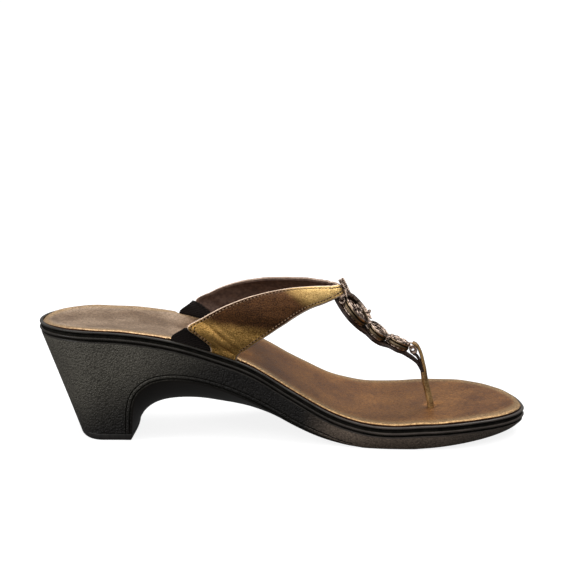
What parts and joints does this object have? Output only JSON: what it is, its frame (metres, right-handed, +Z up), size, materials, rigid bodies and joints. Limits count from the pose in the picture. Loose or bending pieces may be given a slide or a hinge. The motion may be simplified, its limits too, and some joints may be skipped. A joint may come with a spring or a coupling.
{
  "type": "heeled toe post sandal",
  "caption": "Left shoe with a moulded wedge-heeled sole, arched waist, dished footbed, gored straps joined over the instep, a thong toe post and medallion trim.",
  "frame": {"origin": "on the ground plane, under the middle of the part's box; the ground is z = 0", "axes": "+X from the heel to the toe, +Y to the outer (lateral) side of this left shoe, +Z up"},
  "size_m": [0.252, 0.089, 0.0795],
  "materials": {
    "moulded_unit": "pebbled, slightly pearly",
    "heel_tip_rubber": "matt",
    "footbed_leather": "satin metallic",
    "metallic_leather": "satin metallic",
    "elastic": "matt",
    "antique_copper": "antiqued"
  },
  "bodies": {
    "root": {"sole": "moulded_unit", "heel_tip": "heel_tip_rubber", "insole": "footbed_leather", "upper": "metallic_leather", "gore_medial": "elastic", "gore_lateral": "elastic", "medallion_1": "antique_copper", "medallion_2": "antique_copper", "medallion_3": "antique_copper", "strap_bar": "antique_copper", "end_ring": "antique_copper", "post_loop": "metallic_leather", "toe_post": "metallic_leather"}
  },
  "joints": []
}
